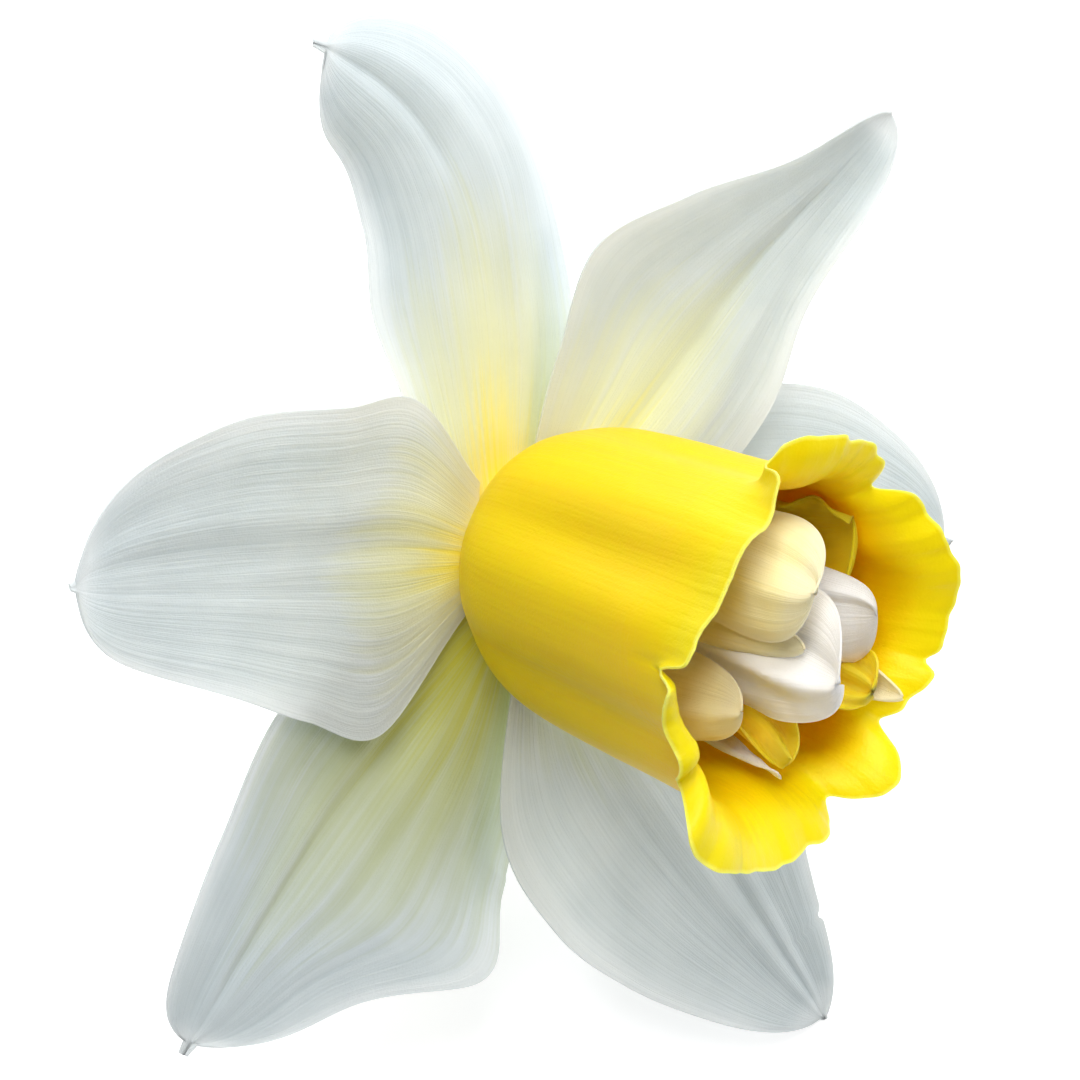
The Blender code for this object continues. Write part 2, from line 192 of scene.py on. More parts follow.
def vein_tree():
    """Raises veins and a soft crinkle on a petal's middle surface.

    The surface brings `vein_phase`, whose every whole number is a vein, and `vein_strength`,
    which fades the veins out at the root and the edge.
    """
    tree = bpy.data.node_groups.new("petal_veins", "GeometryNodeTree")
    face = tree.interface
    face.new_socket("Geometry", in_out="INPUT", socket_type="NodeSocketGeometry")
    for name, value in (("Vein Height", 0.04), ("Crinkle Height", 0.1), ("Crinkle Size", 5.0),
                        ("Seed", 0.0)):
        socket = face.new_socket(name, in_out="INPUT", socket_type="NodeSocketFloat")
        socket.default_value = value
    face.new_socket("Finish", in_out="INPUT", socket_type="NodeSocketMaterial")
    face.new_socket("Geometry", in_out="OUTPUT", socket_type="NodeSocketGeometry")
    given = tree.nodes.new("NodeGroupInput").outputs
    phase = add_node(tree, "GeometryNodeInputNamedAttribute", {"Name": "vein_phase"}).outputs[0]
    strength = add_node(tree, "GeometryNodeInputNamedAttribute", {"Name": "vein_strength"}).outputs[0]
    place = add_node(tree, "GeometryNodeInputPosition").outputs[0]
    wander = add_node(
        tree, "ShaderNodeTexNoise", {"Vector": place, "W": given["Seed"], "Scale": 0.09},
        noise_dimensions="4D").outputs[0]
    wandering = calc(tree, "MULTIPLY_ADD", wander, 1.6, phase)
    wave = calc(tree, "SINE", calc(tree, "MULTIPLY", wandering, math.pi))
    ridge = calc(tree, "POWER", calc(tree, "ABSOLUTE", wave), 0.6)
    ridge = calc(tree, "MULTIPLY", calc(tree, "SUBTRACT", ridge, 0.6), given["Vein Height"])
    grain = calc(tree, "DIVIDE", 1.0, given["Crinkle Size"])
    crinkle = add_node(
        tree, "ShaderNodeTexNoise",
        {"Vector": place, "W": given["Seed"], "Scale": grain, "Detail": 2.0},
        noise_dimensions="4D").outputs[0]
    crinkle = calc(tree, "MULTIPLY", calc(tree, "SUBTRACT", crinkle, 0.5), given["Crinkle Height"])
    raised = calc(tree, "MULTIPLY", calc(tree, "ADD", ridge, crinkle), strength)
    normal = add_node(tree, "GeometryNodeInputNormal").outputs[0]
    offset = add_node(
        tree, "ShaderNodeVectorMath", {0: normal, "Scale": raised}, operation="SCALE").outputs[0]
    moved = add_node(tree, "GeometryNodeSetPosition", {"Geometry": given[0], "Offset": offset})
    real = add_node(tree, "GeometryNodeRealizeInstances", {0: moved.outputs[0]})
    dressed = add_node(
        tree, "GeometryNodeSetMaterial", {"Geometry": real.outputs[0], "Material": given["Finish"]})
    add_node(tree, "NodeGroupOutput", {0: dressed.outputs[0]})
    return tree


PETAL_VEINS = vein_tree()


def grid_faces(rows, columns, closed):
    """Quads of a grid of points. A closed grid joins its last column to its first."""
    cells = columns if closed else columns - 1
    row, column = np.meshgrid(np.arange(rows - 1), np.arange(cells), indexing="ij")
    after = (column + 1) % columns
    corners = [row * columns + column, row * columns + after,
               (row + 1) * columns + after, (row + 1) * columns + column]
    return np.stack(corners, axis=-1).reshape(-1, 4)


def living_skin(name, points, faces, pattern, phase, strength, body, edge, veins, finish):
    """One piece of tissue: a middle surface given its veins, then its thickness, then its place.

    `pattern` is where the finish reads its streaks, `body` the share of full thickness at each
    point, and `edge` the thinnest share.
    """
    middle = bpy.data.meshes.new(name)
    middle.from_pydata(points.tolist(), [], faces.tolist())
    middle.shade_smooth()
    middle.attributes.new("blade", "FLOAT_VECTOR", "POINT").data.foreach_set(
        "vector", pattern.astype(np.float32).ravel())
    for attribute, values in (("vein_phase", phase), ("vein_strength", strength)):
        middle.attributes.new(attribute, "FLOAT", "POINT").data.foreach_set(
            "value", values.astype(np.float32))
    draft = bpy.data.objects.new(name, middle)
    bpy.context.scene.collection.objects.link(draft)
    group = draft.vertex_groups.new(name="body")
    shares = np.clip((body - edge) / (1.0 - edge), 0.0, 1.0)
    shares = np.round(shares * THICKNESS_STEPS) / THICKNESS_STEPS
    for share in np.unique(shares):
        group.add(np.flatnonzero(shares == share).tolist(), float(share), "REPLACE")
    growth = draft.modifiers.new("Veins", "NODES")
    growth.node_group = PETAL_VEINS
    wanted = {**veins, "Finish": finish}
    for item in PETAL_VEINS.interface.items_tree:
        if item.in_out == "INPUT" and item.name in wanted:
            growth[item.identifier] = wanted[item.name]
    skin = draft.modifiers.new("Thickness", "SOLIDIFY")
    skin.thickness = veins["Thickness"]
    skin.offset = veins["Side"]
    skin.use_even_offset = False
    skin.vertex_group = "body"
    skin.thickness_vertex_group = edge
    graph = bpy.context.evaluated_depsgraph_get()
    grown = bpy.data.meshes.new_from_object(
        draft.evaluated_get(graph), preserve_all_data_layers=True, depsgraph=graph)
    bpy.data.objects.remove(draft)
    grown.set_sharp_from_angle(angle=EDGE_ANGLE)
    grown.transform(FLOWER_AXIS)
    grown.name = name
    piece = bpy.data.objects.new(name, grown)
    bpy.context.scene.collection.objects.link(piece)
    return piece


def petal(name, shape, rows, columns, veins, finish):
    """A petal's blade as a grid, with its rows crowded towards the tip."""
    place = np.linspace(0.0, 1.0, rows)
    along = 1.0 - (1.0 - place) ** ROW_CROWDING
    even = np.linspace(-1.0, 1.0, columns)
    across = np.sin(even * math.pi / 2) * COLUMN_CROWDING + even * (1.0 - COLUMN_CROWDING)
    along, across = (side.ravel() for side in np.meshgrid(along, across, indexing="ij"))
    points = blade_surface(shape, along, across)
    faces = grid_faces(rows, columns, closed=False)
    widest = max(shape["left"]) + max(shape["right"])
    phase = across * widest / 2 / VEIN_SPACING
    lengthwise = ramp(along, 0.02, 0.15) * (1 - ramp(along, 0.9, 0.99))
    strength = lengthwise * (1 - ramp(np.abs(across), 0.8, 1.0))
    body = 1.0 - np.maximum(np.abs(across) ** 6, ramp(along, 0.9, 1.0))
    pattern = np.stack([across, along, np.full_like(along, shape["seed"])], axis=-1)
    return living_skin(
        name, points, faces, pattern, phase, strength, body, EDGE_THICKNESS, veins, finish)


def petal_finish(name, light, shade, flush, throat, reach, spread, streaks, glow, wax):
    """Living petal: streaked along its length, flushed from its root and softly lit through.

    `light` and `shade` are the blade's own colours, `flush` the colour that climbs from the root
    to `reach` of the length, `throat` the stronger colour at the very root, `spread` how much
    sooner the flush ends away from the midrib, `streaks` how strongly the lines show, and `glow`
    the share of light that soaks into the tissue.
    """
    look = bpy.data.materials.new(name)
    look.use_nodes = True
    tree = look.node_tree
    shader = tree.nodes["Principled BSDF"]
    shader.inputs["Roughness"].default_value = wax
    shader.inputs["Specular IOR Level"].default_value = 0.25
    shader.inputs["Subsurface Weight"].default_value = glow
    shader.inputs["Subsurface Radius"].default_value = (0.9, 0.9, 0.9)
    shader.inputs["Subsurface Scale"].default_value = 0.0012
    blade = add_node(tree, "ShaderNodeAttribute", attribute_name="blade").outputs["Vector"]
    parts = add_node(tree, "ShaderNodeSeparateXYZ", {0: blade}).outputs
    across = calc(tree, "ABSOLUTE", parts[0])
    along = parts[1]
    wide = add_node(
        tree, "ShaderNodeVectorMath", {0: blade, 1: (13.0, 1.1, 7.0)}, operation="MULTIPLY")
    streak = add_node(
        tree, "ShaderNodeTexNoise", {"Vector": wide.outputs[0], "Scale": 1.0, "Detail": 4.0}).outputs[0]
    close = add_node(
        tree, "ShaderNodeVectorMath", {0: blade, 1: (70.0, 3.0, 7.0)}, operation="MULTIPLY")
    line = add_node(
        tree, "ShaderNodeTexNoise", {"Vector": close.outputs[0], "Scale": 1.0, "Detail": 2.0}).outputs[0]
    spot = add_node(tree, "ShaderNodeTexCoord").outputs["Object"]
    mottle = add_node(
        tree, "ShaderNodeTexNoise", {"Vector": spot, "Scale": 180.0, "Detail": 3.0}).outputs[0]
    cells = add_node(
        tree, "ShaderNodeTexNoise", {"Vector": spot, "Scale": 5200.0, "Detail": 1.0}).outputs[0]

    tone = calc(tree, "MULTIPLY_ADD", calc(tree, "SUBTRACT", streak, 0.5), 2.2 * streaks, mottle)
    tone = calc(tree, "MULTIPLY_ADD", calc(tree, "SUBTRACT", line, 0.5), 1.6 * streaks, tone)
    colour = add_node(
        tree, "ShaderNodeMix", {"Factor": tone, 6: (*shade, 1.0), 7: (*light, 1.0)},
        data_type="RGBA").outputs[2]
    away = calc(tree, "MULTIPLY_ADD", across, spread, along)
    away = calc(tree, "MULTIPLY_ADD", calc(tree, "SUBTRACT", streak, 0.5), 0.55 * reach, away)
    away = calc(tree, "MULTIPLY_ADD", calc(tree, "SUBTRACT", line, 0.5), 0.30 * reach, away)
    near = calc(tree, "SUBTRACT", 1.0, calc(tree, "DIVIDE", away, reach), clamp=True)
    near = calc(tree, "SMOOTH_MIN", near, 1.0, 0.2, clamp=True)
    colour = add_node(
        tree, "ShaderNodeMix", {"Factor": near, 6: colour, 7: (*flush, 1.0)},
        data_type="RGBA").outputs[2]
    closer = calc(tree, "SUBTRACT", 1.0, calc(tree, "DIVIDE", away, 0.45 * reach), clamp=True)
    closer = calc(tree, "POWER", closer, 1.3)
    colour = add_node(
        tree, "ShaderNodeMix", {"Factor": closer, 6: colour, 7: (*throat, 1.0)},
        data_type="RGBA").outputs[2]
    tree.links.new(colour, shader.inputs["Base Color"])
    relief = calc(tree, "MULTIPLY_ADD", line, 0.8, calc(tree, "MULTIPLY", streak, 1.4))
    relief = calc(tree, "MULTIPLY_ADD", cells, 0.25, relief)
    bump = add_node(
        tree, "ShaderNodeBump", {"Height": relief, "Strength": 0.5, "Distance": 0.00018})
    tree.links.new(bump.outputs[0], shader.inputs["Normal"])
    return look


def radial(radius, turn_deg, height):
    turn = math.radians(turn_deg)
    return (radius * math.cos(turn), radius * math.sin(turn), height)


def tepal(turn, length, height, **shape):
    """A tepal rooted on the throat's ring, with the usual narrow root and rounded blade."""
    made = {
        "turn": turn,
        "root": radial(TEPAL_ROOT_RADIUS, turn, height),
        "length": length - TEPAL_ROOT_RADIUS,
        "swing": [0, 0, 0],
        "lean": [0, 0, 0],
        "cup_left": [0, 0, 0],
        "cup_right": [0, 0, 0],
        "tip": (4, 0.6),
        "point": 1.2,
        "spike": 0.6,
        "nicks": [],
        "folds": [],
        "frill": (0.3, 2.3, 0.0),
        "seed": 0.0,
    }
    made.update(shape)
    return made


TEPALS = {
    "outer_tepal_top": tepal(
        137, 53, OUTER_HEIGHT,
        left=[6, 8.5, 10.5, 10.1, 10.8, 18], right=[6, 10.3, 10.8, 13.2, 13, 12],
        lean=[0, 0, 0, -6, -20], swing=[-18, -20, -8, 15, 48],
        cup_left=[0, -20, -50, -40], cup_right=[0, -20, -50, -40],
        folds=[(0.0, 0.1, 0.1, -0.4, 0.62, 0.95), (-0.35, -0.2, 0.12, 0.25, 0.1, 0.9)],
        seed=1.0,
    ),
    "outer_tepal_right": tepal(
        16, 49, OUTER_HEIGHT,
        left=[6, 12, 15, 15.8, 15, 14.5], right=[6, 12.5, 15, 15, 13, 12],
        lean=[1, 4, 5, 5], cup_left=[0, 0, 10], cup_right=[0, 0, 10],
        seed=2.0,
    ),
    "outer_tepal_lower_left": tepal(
        -106, 51.5, OUTER_HEIGHT,
        left=[6, 16.5, 22, 24.5, 18, 20], right=[6, 11.2, 12.4, 10, 10, 12.5],
        lean=[0, -3, -8, -14, -16], swing=[-8, -10, 0, 10, 15],
        cup_left=[0, 0, 15, 10], cup_right=[0, 10, 10],
        folds=[(0.25, 0.1, 0.11, 0.4, 0.2, 0.95), (-0.25, -0.1, 0.11, 0.4, 0.2, 0.95),
               (0.0, 0.0, 0.1, -0.25, 0.15, 0.9), (0.55, 0.35, 0.14, 0.25, 0.2, 0.9)],
        seed=3.0,
    ),
    "inner_tepal_upper_right": tepal(
        70, 50, INNER_HEIGHT,
        left=[6, 11.5, 16, 12, 5.7, 4.5], right=[6, 11, 10.3, 6.8, 5.2, 5],
        tip=(9, 0.5), point=0.2, spike=0.3,
        lean=[2, 9, 17, 19], swing=[0, 2, 4],
        cup_left=[0, 15, 20, 40], cup_right=[0, 20, 50, 40],
        folds=[(-0.12, 0.0, 0.14, -0.45, 0.08, 0.75), (0.2, 0.15, 0.16, 0.2, 0.1, 0.8),
               (-0.55, -0.4, 0.14, 0.4, 0.12, 0.6)],
        seed=4.0,
    ),
    "inner_tepal_lower_right": tepal(
        -36, 58, INNER_HEIGHT,
        left=[6, 13, 13.2, 10.4, 8.6, 8.2], right=[6, 16, 18, 16, 13, 10.6],
        lean=[6, 4, 4, 4], swing=[2, 3, 5],
        cup_left=[0, 10, 10], cup_right=[0, 15, 10],
        nicks=[(1, 0.83, 0.008, 0.08)], point=0.3, spike=0.3,
        folds=[(0.2, 0.15, 0.1, 0.3, 0.3, 0.95), (-0.15, -0.1, 0.1, 0.3, 0.3, 0.95)],
        seed=5.0,
    ),
    "inner_tepal_left": tepal(
        195, 49.2, INNER_HEIGHT,
        left=[4.5, 14, 12.4, 9.8, 8.2, 7.8], right=[7, 14.2, 14, 13.7, 12.5, 11.6],
        tip=(8, 0.5), point=0.6, spike=0.4,
        lean=[4, 4, 4], cup_left=[0, 10, 10], cup_right=[0, 10, 10],
        folds=[(-0.1, -0.15, 0.10, -0.13, 0.1, 0.9), (0.15, 0.1, 0.10, -0.10, 0.1, 0.9),
               (-0.35, -0.35, 0.12, 0.25, 0.1, 0.9)],
        seed=6.0,
    ),
}

WHITE, WHITE_SHADE = (0.65, 0.705, 0.725), (0.55, 0.61, 0.63)
# For each tepal: flush colour, throat colour, reach along the blade, spread and streaks.
TEPAL_COLOURING = {
    "outer_tepal_top": ((0.80, 0.80, 0.40), (0.90, 0.76, 0.06), 0.66, 0.30, 0.6),
    "outer_tepal_right": ((0.70, 0.74, 0.45), (0.80, 0.72, 0.10), 0.45, 0.4, 0.35),
    # The lower-left tepal's dark olive flush and throat are partly its own greenish flush, partly
    # painted shade and painted yellow light thrown back from the trumpet.
    "outer_tepal_lower_left": ((0.52, 0.55, 0.14), (0.56, 0.53, 0.01), 0.86, 0.34, 0.7),
    "inner_tepal_upper_right": ((0.82, 0.83, 0.40), (0.88, 0.80, 0.08), 0.66, 0.45, 0.4),
    "inner_tepal_lower_right": ((0.60, 0.65, 0.36), (0.60, 0.60, 0.06), 0.40, 0.35, 0.4),
    "inner_tepal_left": ((0.82, 0.80, 0.34), (0.92, 0.78, 0.04), 0.42, 0.25, 0.6),
}
TEPAL_SKIN = {
    "Vein Height": 0.035, "Crinkle Height": 0.45, "Crinkle Size": 8.0,
    "Thickness": TEPAL_THICK, "Side": 0.0,
}

for node, shape in TEPALS.items():
    flush, throat, reach, spread, streaks = TEPAL_COLOURING[node]
    finish = petal_finish(
        node + "_finish", WHITE, WHITE_SHADE, flush, throat, reach, spread, streaks,
        glow=0.7, wax=0.5)
    veins = {**TEPAL_SKIN, "Seed": shape["seed"]}
    piece = petal(node + "_petal", shape, TEPAL_ROWS, TEPAL_COLUMNS, veins, finish)
    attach(piece, "root")
    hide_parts(node)


# ---- Trumpet --------------------------------------------------------------------------------
# The yellow corona: one wall of living tissue grown from the throat, with six broad ridges and
# many fine ones, that flares into lobes and rolls back on its lower side. Its rim is frilled.

TRUMPET_THICK = 0.7
TRUMPET_SEGMENTS, TRUMPET_ROWS, NECK_ROWS = 384, 120, 8
TRUMPET_BASE_RADIUS = 7.4
TRUMPET_BASE_HEIGHT = 1.2
NECK_RADIUS, NECK_HEIGHT = 6.0, -2.3
NECK_SHARE = 0.1          # how far below the base the neck goes, as a share of the wall
TRUMPET_STEPS = 161       # points up the wall when its bends are added up
TRUMPET_CROWDING = 0.8    # rows of faces crowd towards the rim by this power
# Degrees that the wall opens from the axis, from base to rim, before the rim's own flare.
TRUMPET_OPENING = [60, 26, 8, 3, 2, 3, 4, 5, 5]
TRUMPET_FLARE_POWER = 1.1
# Broad ridges run up the wall, each this share of the radius high.
TRUMPET_RIDGES = 6
TRUMPET_RIDGE = 0.045
TRUMPET_RIDGE_TURN = 20.0
# Only the wall above this share of its length takes the rim's scallops and clefts.
TRUMPET_RIM_FROM = 0.78
# The base stands this far to one side of the axis, and the rim stands on it.
TRUMPET_SIDESTEP = 1.3
TRUMPET_SIDESTEP_TURN = math.radians(100.0)
TRUMPET_VEINS = 84
# The wall's length and the rim's flare, every 15 degrees round, starting on the low side.
TRUMPET_LENGTH = [
    34.2, 35.2, 36.2, 37.2, 36.0, 34.5, 36.5, 38.5, 37, 36, 37, 37,
    37, 37, 37.5, 39, 42.5, 41.5, 38.8, 38, 36.0, 34.3, 36.0, 34.0,
]
TRUMPET_FLARE = [
    45, 55, 55, 55, 55, 60, 70, 90, 80, 0, 0, 0,
    0, 20, 105, 115, 90, 70, 60, 60, 55, 50, 50, 45,
]
# The share of the wall that flares: most of the rim is a broad lip, and one stretch a narrow roll.
TRUMPET_LIP = [
    0.2, 0.2, 0.2, 0.2, 0.2, 0.2, 0.2, 0.2, 0.2, 0.2, 0.2, 0.2,
    0.2, 0.14, 0.09, 0.10, 0.21, 0.2, 0.2, 0.2, 0.2, 0.2, 0.2, 0.2,
]
# The rim's scallops, each (height, how many round, phase), and its clefts, each (depth, turn,
# width in degrees). The waves of its edge, up and down, are (height, how many round, phase).
SCALLOPS = [(0.14, 13, 1.1), (0.10, 29, 0.0), (0.05, 53, 2.0)]
CLEFTS = [
    (1.8, 315, 4.0), (1.6, 346, 4.0), (0.9, 9, 2.0), (2.0, 72, 4.0),
    (0.6, 100, 2.5), (2.0, 124, 2.0), (3.0, 199, 2.2), (3.0, 233, 3.5),
]
RIM_WAVES = [(0.25, 11, 0.4), (0.14, 23, 0.0)]


def around(values, turn_deg):
    """A smooth closed curve through values spread evenly over a full turn."""
    knots = np.asarray(values, float)
    place = (np.asarray(turn_deg, float) % 360.0) / 360.0 * len(knots)
    start = place.astype(int)
    part = place - start
    before, here, after, beyond = (knots[(start + k - 1) % len(knots)] for k in range(4))
    bend = 2 * before - 5 * here + 4 * after - beyond
    return here + 0.5 * part * (
        after - before + part * (bend + part * (3 * (here - after) + beyond - before))
    )


def turn_hump(turn_deg, place, width):
    """A smooth hump round the trumpet, of height 1."""
    apart = (turn_deg - place + 180.0) % 360.0 - 180.0
    return np.exp(-((apart / width) ** 2))


def waves(kinds, turn):
    """Waves of several kinds added together, each (height, how many round, phase)."""
    return sum(height * np.sin(count * turn + phase) for height, count, phase in kinds)


def trumpet_rim(turn_deg):
    """How much longer the wall is at each turn: small scallops, and the clefts between lobes."""
    scallops = waves(SCALLOPS, np.radians(turn_deg))
    deeper = 1.6 * turn_hump(turn_deg, 95, 25)
    shallower = 0.9 * turn_hump(turn_deg, 165, 35)
    clefts = sum(depth * turn_hump(turn_deg, place, width) for depth, place, width in CLEFTS)
    return scallops * (1.0 + deeper - shallower) - clefts


def trumpet_surface(turn_deg, along):
    """Points of the trumpet's inner face, from its base (0) to its rim (1), and below its base
    down the short neck that joins it to the throat (-NECK_SHARE)."""
    length = around(TRUMPET_LENGTH, turn_deg)
    extra = trumpet_rim(turn_deg) / (1.0 - TRUMPET_RIM_FROM)
    flare = around(TRUMPET_FLARE, turn_deg)
    lip = around(TRUMPET_LIP, turn_deg)
    fine = np.linspace(0.0, 1.0, TRUMPET_STEPS)
    opening = through(TRUMPET_OPENING, fine)
    radii = [np.full(np.shape(turn_deg), TRUMPET_BASE_RADIUS)]
    heights = [np.full(np.shape(turn_deg), TRUMPET_BASE_HEIGHT)]
    turn = np.radians(turn_deg)
    for k in range(1, len(fine)):
        curl = np.clip((fine[k] - 1.0 + lip) / lip, 0.0, 1.0)
        angle = np.radians(opening[k] + flare * curl**TRUMPET_FLARE_POWER)
        step = (length + extra * (fine[k] > TRUMPET_RIM_FROM)) / (len(fine) - 1)
        radii.append(radii[-1] + step * np.sin(angle))
        heights.append(heights[-1] + step * np.cos(angle))
    ridge_turn = np.radians(TRUMPET_RIDGES * (turn_deg - TRUMPET_RIDGE_TURN))
    ridge = TRUMPET_RIDGE * (np.cos(ridge_turn) - 0.3 * np.cos(2 * ridge_turn))
    ridged = np.minimum(fine * 2, 1) * (1.0 - 0.5 * ramp(fine, 0.75, 1.0))
    radii = np.array(radii) * (1 + np.outer(ridged, ridge))
    frill = waves(RIM_WAVES, turn) * (0.25 + 0.75 * (flare > 30))
    heights = np.array(heights) + np.outer(ramp(fine, 0.80, 1.0), frill)
    index = np.maximum(along, 0.0) * (len(fine) - 1)
    low = np.minimum(index.astype(int), len(fine) - 2)
    part = index - low
    column = np.arange(len(turn_deg))
    radius = radii[low, column] * (1 - part) + radii[low + 1, column] * part
    height = heights[low, column] * (1 - part) + heights[low + 1, column] * part
    sunk = np.clip(-along / NECK_SHARE, 0.0, 1.0)
    radius = radius * (1.0 - sunk) + NECK_RADIUS * sunk
    height = height * (1.0 - sunk) + NECK_HEIGHT * sunk
    aside = TRUMPET_SIDESTEP * (1 - along) * (1.0 - sunk)
    x = radius * np.cos(turn) + aside * math.cos(TRUMPET_SIDESTEP_TURN)
    y = radius * np.sin(turn) + aside * math.sin(TRUMPET_SIDESTEP_TURN)
    return np.stack([x, y, height], axis=-1)


def trumpet_finish():
    """Saturated yellow tissue, streaked along the wall and paler at the very rim."""
    look = bpy.data.materials.new("trumpet_finish")
    look.use_nodes = True
    tree = look.node_tree
    shader = tree.nodes["Principled BSDF"]
    shader.inputs["Roughness"].default_value = 0.42
    shader.inputs["Specular IOR Level"].default_value = 0.2
    shader.inputs["Subsurface Weight"].default_value = 0.6
    shader.inputs["Subsurface Radius"].default_value = (1.0, 0.7, 0.05)
    shader.inputs["Subsurface Scale"].default_value = 0.0015
    blade = add_node(tree, "ShaderNodeAttribute", attribute_name="blade").outputs["Vector"]
    along = add_node(tree, "ShaderNodeSeparateXYZ", {0: blade}).outputs[2]
    wide = add_node(
        tree, "ShaderNodeVectorMath", {0: blade, 1: (6.0, 6.0, 1.2)}, operation="MULTIPLY")
    streak = add_node(
        tree, "ShaderNodeTexNoise", {"Vector": wide.outputs[0], "Scale": 1.0, "Detail": 4.0}).outputs[0]
    close = add_node(
        tree, "ShaderNodeVectorMath", {0: blade, 1: (34.0, 34.0, 2.5)}, operation="MULTIPLY")
    line = add_node(
        tree, "ShaderNodeTexNoise", {"Vector": close.outputs[0], "Scale": 1.0, "Detail": 2.0}).outputs[0]
    spot = add_node(tree, "ShaderNodeTexCoord").outputs["Object"]
    cells = add_node(
        tree, "ShaderNodeTexNoise", {"Vector": spot, "Scale": 4200.0, "Detail": 1.0}).outputs[0]
    tone = calc(tree, "MULTIPLY_ADD", calc(tree, "SUBTRACT", line, 0.5), 0.5, streak, clamp=True)
    tone = calc(tree, "MULTIPLY_ADD", tone, 0.7, 0.15)
    colour = add_node(
        tree, "ShaderNodeMix",
        {"Factor": tone, 6: (0.88, 0.53, 0.0, 1.0), 7: (0.95, 0.70, 0.0, 1.0)},
        data_type="RGBA").outputs[2]
    lobes = calc(tree, "MULTIPLY", calc(tree, "SUBTRACT", along, 0.78), 4.0, clamp=True)
    colour = add_node(
        tree, "ShaderNodeMix", {"Factor": lobes, 6: colour, 7: (0.80, 0.62, 0.0, 1.0)},
        data_type="RGBA").outputs[2]
    rim = calc(tree, "MULTIPLY", calc(tree, "SUBTRACT", along, 0.99), 100.0, clamp=True)
    colour = add_node(
        tree, "ShaderNodeMix", {"Factor": rim, 6: colour, 7: (0.94, 0.86, 0.14, 1.0)},
        data_type="RGBA").outputs[2]
    tree.links.new(colour, shader.inputs["Base Color"])
    relief = calc(tree, "MULTIPLY_ADD", line, 0.3, calc(tree, "MULTIPLY", streak, 0.8))
    relief = calc(tree, "MULTIPLY_ADD", cells, 0.25, relief)
    bump = add_node(
        tree, "ShaderNodeBump", {"Height": relief, "Strength": 0.5, "Distance": 0.00025})
    tree.links.new(bump.outputs[0], shader.inputs["Normal"])
    return look


turns = np.arange(TRUMPET_SEGMENTS) * 360.0 / TRUMPET_SEGMENTS
neck_heights = np.linspace(-NECK_SHARE, 0.0, NECK_ROWS)[:-1]
wall_heights = np.linspace(0.0, 1.0, TRUMPET_ROWS) ** TRUMPET_CROWDING
heights = np.concatenate([neck_heights, wall_heights])
wall = np.concatenate(
    [trumpet_surface(turns, np.full(TRUMPET_SEGMENTS, height)) for height in heights])
wall_along = np.repeat(heights, TRUMPET_SEGMENTS)
wall_turn = np.radians(np.tile(turns, len(heights)))
trumpet = living_skin(
    "trumpet", wall, grid_faces(len(heights), TRUMPET_SEGMENTS, closed=True),
    np.stack([np.cos(wall_turn), np.sin(wall_turn), wall_along], axis=-1),
    wall_turn / (2 * math.pi) * TRUMPET_VEINS,
    0.12 + 0.88 * ramp(wall_along, 0.8, 0.95),
    1.0 - 0.9 * ramp(wall_along, 0.75, 1.0), 0.3,
    {"Vein Height": 0.05, "Crinkle Height": 0.7, "Crinkle Size": 6.0, "Seed": 7.0,
     "Thickness": TRUMPET_THICK, "Side": 1.0},
    trumpet_finish())
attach(trumpet, "root")
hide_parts("corona")


# ---- Inner petals ---------------------------------------------------------------------------
# Twelve petals that fill the trumpet's mouth, where a single flower has its stamens. Each is a
# narrow claw rooted in the throat that widens into a curled or folded blade.

PETALOID_THICK = 0.55
PETALOID_ROWS, PETALOID_COLUMNS = 96, 44
PETALOID_ROOT_HEIGHT = -3.5


def petaloid(root_radius, root_turn, turn, length, **shape):
    """An inner petal: a narrow claw rooted in the throat, widening towards the mouth."""
    made = {
        "turn": turn,
        "root": radial(root_radius, root_turn, PETALOID_ROOT_HEIGHT),
        "length": length,
        "swing": [0, 0, 0],
        "tip": (5, 0.6),
        "point": 0.0,
        "spike": 0.16,
        "nicks": [],
        "folds": [],
        "frill": (0.5, 3.3, 0.2),
        "seed": root_turn * 0.1,
    }
    made.update(shape)
    if "left" not in made:
        made["left"] = made["right"] = made.pop("half")
    if "cup_left" not in made:
        made["cup_left"] = made["cup_right"] = made.pop("cup")
    return made


WHITE_PETALOIDS = {
    "petaloid_white_folded": petaloid(
        1.1, 254, 204, 42, swing=[14, 6, 8, -10, -12], lean=[78, 84, 90, 100, 103],
        left=[0.8, 1, 2.5, 4, 5, 5.2], right=[0.8, 1, 1.9, 3.6, 7, 7.8],
        cup_left=[0, 20, 50, 50, 40], cup_right=[0, 20, 50, 30, 10], tip=(14, 0.45),
        frill=(0.8, 4.0, 0.2),
        folds=[(-1.45, 0.3, 0.22, -2.2, 0.45, 0.95), (-1.0, -0.2, 0.18, 0.9, 0.6, 0.95)],
    ),
    "petaloid_white_right": petaloid(
        2.2, 48, 25, 38, swing=[1, 0, 1], lean=[69, 85, 90, 80, 45],
        left=[0.8, 0.6, 0.6, 2, 4, 3.9], right=[0.8, 0.6, 0.6, 3.3, 4.9, 6.6],
        cup=[0, 0, -25, -40], tip=(16, 0.4), folds=[(0.4, 0.55, 0.16, 0.5, 0.5, 1.1)],
    ),
    "petaloid_white_small": petaloid(
        4.6, 287, 294, 36.5, swing=[-6, -7, 12], lean=[81, 76, 84, 83, 76],
        half=[0.8, 0.6, 0.6, 1.4, 1.2, 0.6], cup=[0, 0, 25], frill=(0.4, 2.6, 0.2),
    ),
}
